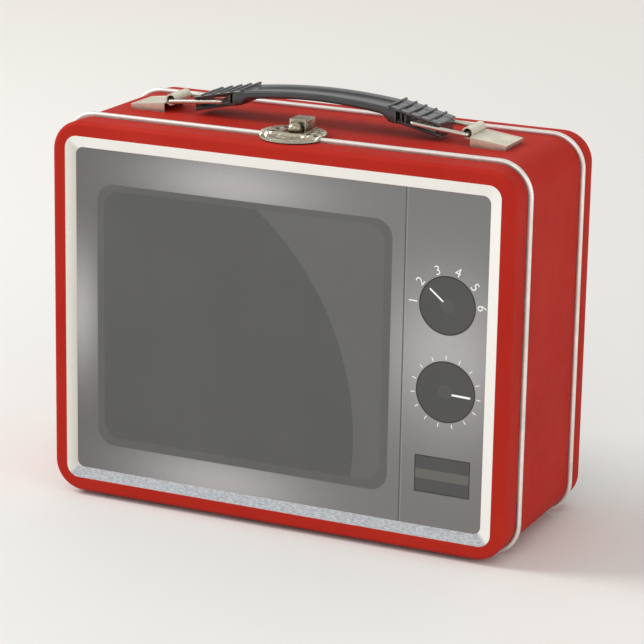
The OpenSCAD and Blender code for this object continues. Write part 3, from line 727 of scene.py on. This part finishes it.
def makeLatchPlate():
    p = plateShape
    big = p["radius"]

    def smooth(v):
        v = min(1, max(0, v))
        return v * v * (3 - 2 * v)

    def hump(v, middle, wide):
        return math.exp(-((v - middle) / wide) ** 2)

    def front(angle):  # 1 towards the front, where the edge is plain
        return smooth((-math.sin(angle) - 0.22) / 0.2)

    def edgeAt(angle):
        lobe = (0.5 + 0.5 * math.cos(p["scallops"] * angle)) ** 2
        return big - p["scallopDeep"] * lobe * (1 - front(angle))

    def heightAt(r, angle):
        t = r / big
        y = p["middle"] + r * math.sin(angle)
        # 1 in front of the rolled edge, where the plate comes down
        low = smooth((p["beadAt"] - 1.2 - y) / 1.9)
        dish = p["frontHeight"] - 0.85 * smooth((t - 0.77) / 0.1)
        dish += 0.5 * hump(t, 0.955, 0.03) + 0.25 * math.cos(14 * angle) * hump(t, 0.5, 0.12)
        lace = 0.4 * math.cos(15 * angle) * hump(t, 0.87, 0.07)
        lace += 0.55 * (0.5 + 0.5 * math.cos(9 * angle + 3 * math.sin(15 * t))) * hump(t, 0.66, 0.1)
        lace += 0.3 * math.cos(30 * angle) * hump(t, 0.97, 0.03)
        return low * dish + (1 - low) * (p["overBead"] + lace)

    bm = bmesh.new()
    centre = bm.verts.new((0, p["middle"] * mm, topZ + heightAt(0, 0) * mm))
    rows = []
    for j in range(1, p["rings"] + 1):
        row = []
        for i in range(p["spokes"]):
            angle = 2 * math.pi * i / p["spokes"]
            r = edgeAt(angle) * j / p["rings"]
            row.append(bm.verts.new((r * math.cos(angle) * mm, (p["middle"] + r * math.sin(angle)) * mm,
                                     topZ + heightAt(r, angle) * mm)))
        rows.append(row)
    for i in range(p["spokes"]):
        k = (i + 1) % p["spokes"]
        bm.faces.new((centre, rows[0][i], rows[0][k]))
        for a, b in zip(rows, rows[1:]):
            bm.faces.new((a[i], b[i], b[k], a[k]))
    mesh = bpy.data.meshes.new("latchPlate")
    bm.to_mesh(mesh)
    bm.free()
    helper = bpy.data.objects.new("latchPlate", mesh)
    bpy.context.scene.collection.objects.link(helper)
    wall = helper.modifiers.new("wall", "SOLIDIFY")
    wall.thickness, wall.offset = p["thick"] * mm, -1

    # round holes of the lace, and the notch for the latch
    bm = bmesh.new()
    spots = [(big - inset, 360 / count * (i + 0.5), size)
             for count, inset, size in (p["outerHoles"], p["innerHoles"]) for i in range(count)]
    for r, turn, size in spots:
        angle = math.radians(turn)
        if front(angle) > 0.2:
            continue
        where = Vector((r * math.cos(angle), p["middle"] + r * math.sin(angle), topZ / mm + 3)) * mm
        bmesh.ops.create_cone(bm, cap_ends=True, segments=16, radius1=size * mm, radius2=size * mm,
                              depth=12 * mm, matrix=Matrix.Translation(where))
    size = Vector((2 * p["notchHalf"], 30, 12)) * mm
    where = Vector((0, p["notchFrom"] + 15, topZ / mm + 3)) * mm
    bmesh.ops.create_cube(bm, size=1, matrix=Matrix.Translation(where) @ Matrix.Diagonal((*size, 1)))
    cutterMesh = bpy.data.meshes.new("cutter")
    bm.to_mesh(cutterMesh)
    bm.free()
    cutter = bpy.data.objects.new("cutter", cutterMesh)
    bpy.context.scene.collection.objects.link(cutter)
    cut = helper.modifiers.new("cut", "BOOLEAN")
    cut.operation, cut.object, cut.solver = "DIFFERENCE", cutter, "EXACT"
    cut.use_self = True
    plate = settled(helper)
    bpy.data.objects.remove(cutter)

    softenEdges(plate, 50)
    addPiece("latchPlate", plate, "lid", "latch_metal", latchMetal, replaced=("latch_plate",))


noseShape = {"radius": 2.75, "y": -29.5, "z": 4.0, "long": 1.12, "high": 0.95}


def makeNose():  # the lever with its round thumb knob
    k = noseShape
    bm = bmesh.new()
    bmesh.ops.create_uvsphere(bm, u_segments=40, v_segments=24, radius=k["radius"] * mm)
    spot = Vector((0, k["y"] * mm, topZ + k["z"] * mm))
    for v in bm.verts:
        v.co = Vector((v.co.x * k["long"], v.co.y, v.co.z * k["high"])) + spot
    knob = bpy.data.meshes.new("knob")
    bm.to_mesh(knob)
    bm.free()
    softenEdges(knob, 60)
    return joined([sheetOf("latch_catch", 0.12, 30, 2), knob], "latchCatchLever")


makeLatchPlate()
addPiece("latchBoxShell", sheetOf("latch_box", 0.25, 30, 3), "case", "latch_metal", latchMetal,
         replaced=("latch_box",))
addPiece("latchCatchLever", makeNose(), "catch", "latch_metal", latchMetal,
         replaced=("latch_catch",))
for name, node, body in (
        ("leftLidLeaf", "left_lid_leaf", "lid"), ("rightLidLeaf", "right_lid_leaf", "lid"),
        ("leftBodyLeaf", "left_body_leaf", "case"), ("rightBodyLeaf", "right_body_leaf", "case")):
    addPiece(name, sheetOf(node, 0.1, 30, 1), body, "hinge_steel", hingeSteel, replaced=(node,))
print("latch and hinges ready")


rivetShape = {"headRadius": 2.0, "headHeight": 0.7}


def makeRivets(name, body, node):
    r = rivetShape
    tree = bpy.data.node_groups.get("rivetHeads")
    if tree is None:
        tree, ids, source, sink = newTree("rivetHeads", {"Spots": "Object", "Radius": "Float",
                                                         "Height": "Float", "Steel": "Material"})
        tree["ids"] = json.dumps(ids)
        n, link = tree.nodes, tree.links
        spots = n.new("GeometryNodeObjectInfo")
        link.new(source.outputs["Spots"], spots.inputs["Object"])
        ball = n.new("GeometryNodeMeshUVSphere")
        ball.inputs["Segments"].default_value = 24
        ball.inputs["Rings"].default_value = 12
        ball.inputs["Radius"].default_value = 1.0
        size = n.new("ShaderNodeCombineXYZ")
        for i, label in enumerate(("Radius", "Radius", "Height")):
            link.new(source.outputs[label], size.inputs[i])
        spread = n.new("GeometryNodeInstanceOnPoints")
        link.new(spots.outputs["Geometry"], spread.inputs["Points"])
        link.new(ball.outputs[0], spread.inputs["Instance"])
        link.new(size.outputs[0], spread.inputs["Scale"])
        real = n.new("GeometryNodeRealizeInstances")
        coat = n.new("GeometryNodeSetMaterial")
        link.new(spread.outputs[0], real.inputs[0])
        link.new(real.outputs[0], coat.inputs["Geometry"])
        link.new(source.outputs["Steel"], coat.inputs["Material"])
        link.new(coat.outputs[0], sink.inputs[0])
    ids = json.loads(tree["ids"])
    bm = bmesh.new()
    bm.from_mesh(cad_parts[node].data)
    bmesh.ops.remove_doubles(bm, verts=bm.verts, dist=2e-6)
    middles = []
    left = set(bm.verts)
    while left:  # each rivet is one island of the CAD node
        island, edge = set(), {left.pop()}
        while edge:
            v = edge.pop()
            island.add(v)
            for e in v.link_edges:
                other = e.other_vert(v)
                if other in left:
                    left.remove(other)
                    edge.add(other)
        low = Vector([min(v.co[i] for v in island) for i in range(3)])
        high = Vector([max(v.co[i] for v in island) for i in range(3)])
        middles.append((low, high))
    bm.free()
    points = []
    head = r["headHeight"] * mm
    for low, high in sorted(middles, key=lambda pair: (round(pair[0].x, 5), round(pair[0].y, 5))):
        mid = (low + high) / 2
        points += [(mid.x, mid.y, low.z + head), (mid.x, mid.y, high.z - head)]
    mesh = bpy.data.meshes.new(name + "Spots")
    mesh.from_pydata(points, [], [])
    helper = bpy.data.objects.new(name + "Spots", mesh)
    bpy.context.scene.collection.objects.link(helper)
    heads = grow(tree, ids, {"Spots": helper, "Radius": r["headRadius"] * mm, "Height": r["headHeight"] * mm,
                             "Steel": hingeSteel}, name)
    bpy.data.objects.remove(helper)
    softenEdges(heads, 60)
    addPiece(name, heads, body, "hinge_steel", hingeSteel, replaced=(node,))


for name, body, node in (
        ("lidHingeRivets", "lid", "lid_leaf_rivets"), ("caseHingeRivets", "case", "body_leaf_rivets"),
        ("plateRivets", "lid", "latch_plate_rivets"), ("boxRivet", "case", "latch_box_rivet")):
    makeRivets(name, body, node)
print("rivets ready")


studio = {
    "floorNear": paint(226, 225, 222), "floorFar": paint(254, 251, 244), "world": (1.0, 0.985, 0.965),
    "worldStrength": 0.57, "keyPower": 26.0, "keySize": 0.8, "keyAt": (-1.5, -0.35, 1.3),
    "fillPower": 12.0, "fillSize": 1.6, "fillAt": (0.4, -1.8, 1.2),
    "sidePower": 7.0, "sideSize": 1.2, "sideAt": (1.6, -0.2, 0.5),
    "backPower": 3.0, "backSize": 1.5, "backAt": (0.0, 1.9, 1.3), "aim": (0, 0, 0.08), "backAim": (0, 1.2, 0),
}


def makeStudio():
    s = studio
    bm = bmesh.new()
    bmesh.ops.create_grid(bm, x_segments=2, y_segments=2, size=6)
    mesh = bpy.data.meshes.new("floor")
    bm.to_mesh(mesh)
    bm.free()
    f = Finish("floorPaper")
    reach = f.add("ShaderNodeVectorMath", operation="LENGTH")
    f.put(reach.inputs[0], f.place)
    # the floor is painted darker near the box and paler far away, to even out the lamps' falloff: painted
    # light and shade
    colour = f.mix(f.spread(reach.outputs["Value"], 0.35, 2.2, 0, 1), s["floorNear"], s["floorFar"])
    f.gloss(Specular_IOR_Level=0.2)
    f.bump(f.noise(1.5, 3), 0.05, 0.05)
    floor = bpy.data.objects.new("floor", mesh)
    mesh.materials.append(f.done(colour, f.spread(f.noise(20, 3), 0.3, 0.7, 0.55, 0.65)))
    bpy.context.scene.collection.objects.link(floor)

    world = bpy.data.worlds.new("studio")
    world.use_nodes = True
    background = world.node_tree.nodes["Background"]
    background.inputs[0].default_value = (*s["world"], 1)
    background.inputs[1].default_value = s["worldStrength"]
    bpy.context.scene.world = world

    for name in ("key", "fill", "side", "back"):
        aim = Vector(s["backAim" if name == "back" else "aim"])
        lamp = bpy.data.lights.new(name, "AREA")
        lamp.energy, lamp.size = s[name + "Power"], s[name + "Size"]
        holder = bpy.data.objects.new(name, lamp)
        holder.location = s[name + "At"]
        holder.rotation_euler = (aim - holder.location).to_track_quat("-Z", "Y").to_euler()
        bpy.context.scene.collection.objects.link(holder)


cameraPlace = {"at": (0.5282, -1.1402, 0.4422), "yaw": 24.795, "pitch": 15.843, "roll": 1.035, "lens": 158.4}


def makeCamera():
    c = cameraPlace
    yaw, pitch, roll = (math.radians(c[k]) for k in ("yaw", "pitch", "roll"))
    forward = Vector((-math.cos(pitch) * math.sin(yaw), math.cos(pitch) * math.cos(yaw), -math.sin(pitch)))
    right = Vector((math.cos(yaw), math.sin(yaw), 0))
    down = forward.cross(right)
    side = math.cos(roll) * right - math.sin(roll) * down
    down = math.sin(roll) * right + math.cos(roll) * down
    lens = bpy.data.cameras.new("camera")
    lens.lens, lens.sensor_width, lens.clip_start = c["lens"], 36, 0.01
    camera = bpy.data.objects.new("camera", lens)
    turn = Matrix((side, -down, -forward)).transposed()
    camera.matrix_world = Matrix.Translation(c["at"]) @ turn.to_4x4()
    bpy.context.scene.collection.objects.link(camera)
    bpy.context.scene.camera = camera


makeStudio()
makeCamera()
bpy.context.scene.view_settings.view_transform = "Standard"
print("studio ready")
